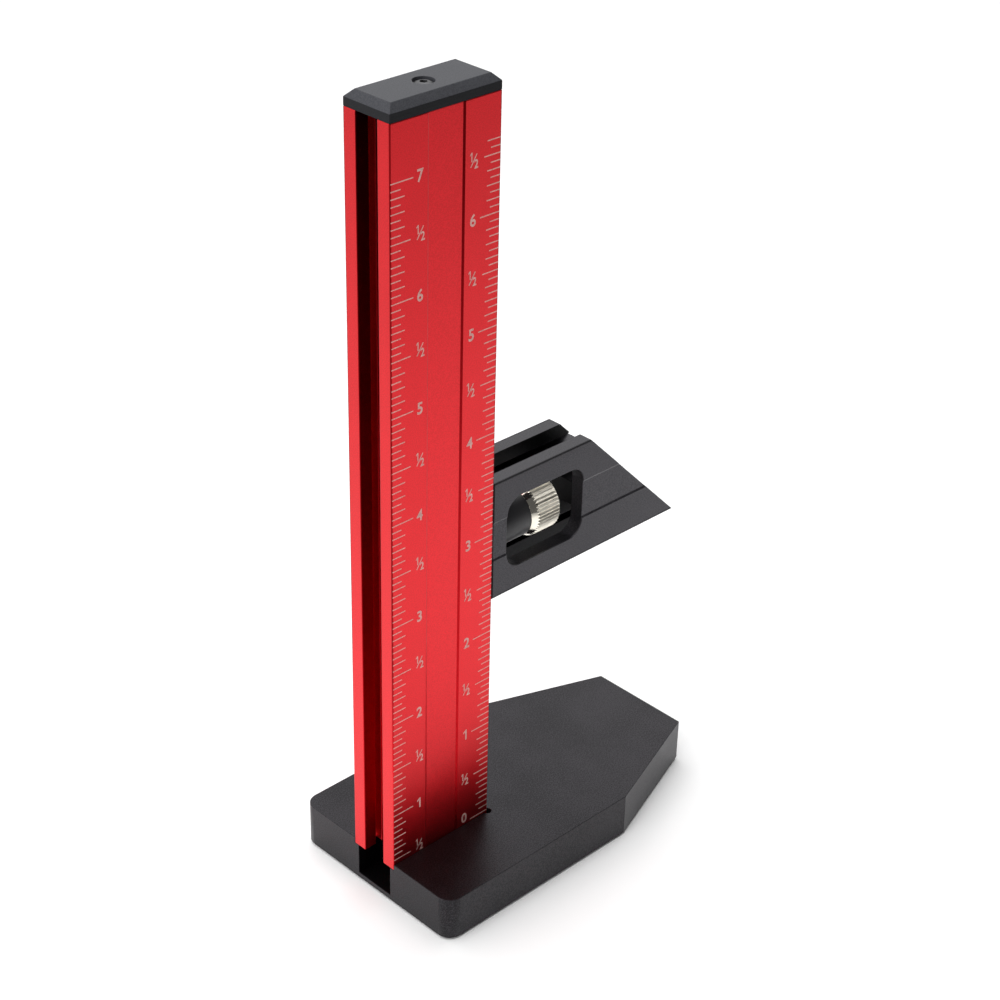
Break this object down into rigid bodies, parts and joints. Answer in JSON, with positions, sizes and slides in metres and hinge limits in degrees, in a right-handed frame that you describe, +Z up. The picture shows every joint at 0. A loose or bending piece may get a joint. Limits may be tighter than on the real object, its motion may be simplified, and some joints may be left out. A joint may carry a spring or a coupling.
{
  "type": "height gauge",
  "caption": "Slotted upright with two scales on a flat pointed base plate, and a short slant-ended arm clamped at any height by a knurled nut in its window.",
  "frame": {"origin": "middle of the base plate's underside, on the table", "axes": "+Z up along the upright, +X along the arm towards the base's nose, -Y out of the broad face that carries the inch scales"},
  "size_m": [0.09, 0.0508, 0.1935],
  "materials": {
    "red_anodised": "satin",
    "black_anodised": "satin",
    "black_steel": "satin",
    "steel": "satin",
    "nickel": "gloss"
  },
  "bodies": {
    "stand": {"base_plate": "black_anodised", "base_screw": "black_steel", "beam": "red_anodised", "end_cap": "black_anodised", "cap_screw": "black_steel"},
    "arm_carriage": {"arm": "black_anodised", "nut_sleeve": "black_anodised"},
    "clamp": {"slot_slider": "steel", "clamp_stud": "steel"},
    "nut": {"thumb_nut": "nickel"}
  },
  "joints": [
    {"name": "arm_slide", "type": "slide", "parent": "stand", "child": "arm_carriage", "axis": [0, 0, 1], "range_m": [-0.0595, 0.0916]},
    {"name": "nut_spin", "type": "hinge", "parent": "arm_carriage", "child": "nut", "pos_m": [-0.0023, 0, 0.08585], "axis": [1, 0, 0], "range_deg": [0, 180]},
    {"name": "clamp_draw", "type": "slide", "parent": "arm_carriage", "child": "clamp", "axis": [1, 0, 0], "range_m": [-0.00035, 0]}
  ],
  "couplings": [
    {"joint": "nut_spin", "follows": "clamp_draw", "rad_per_m": -8976}
  ]
}
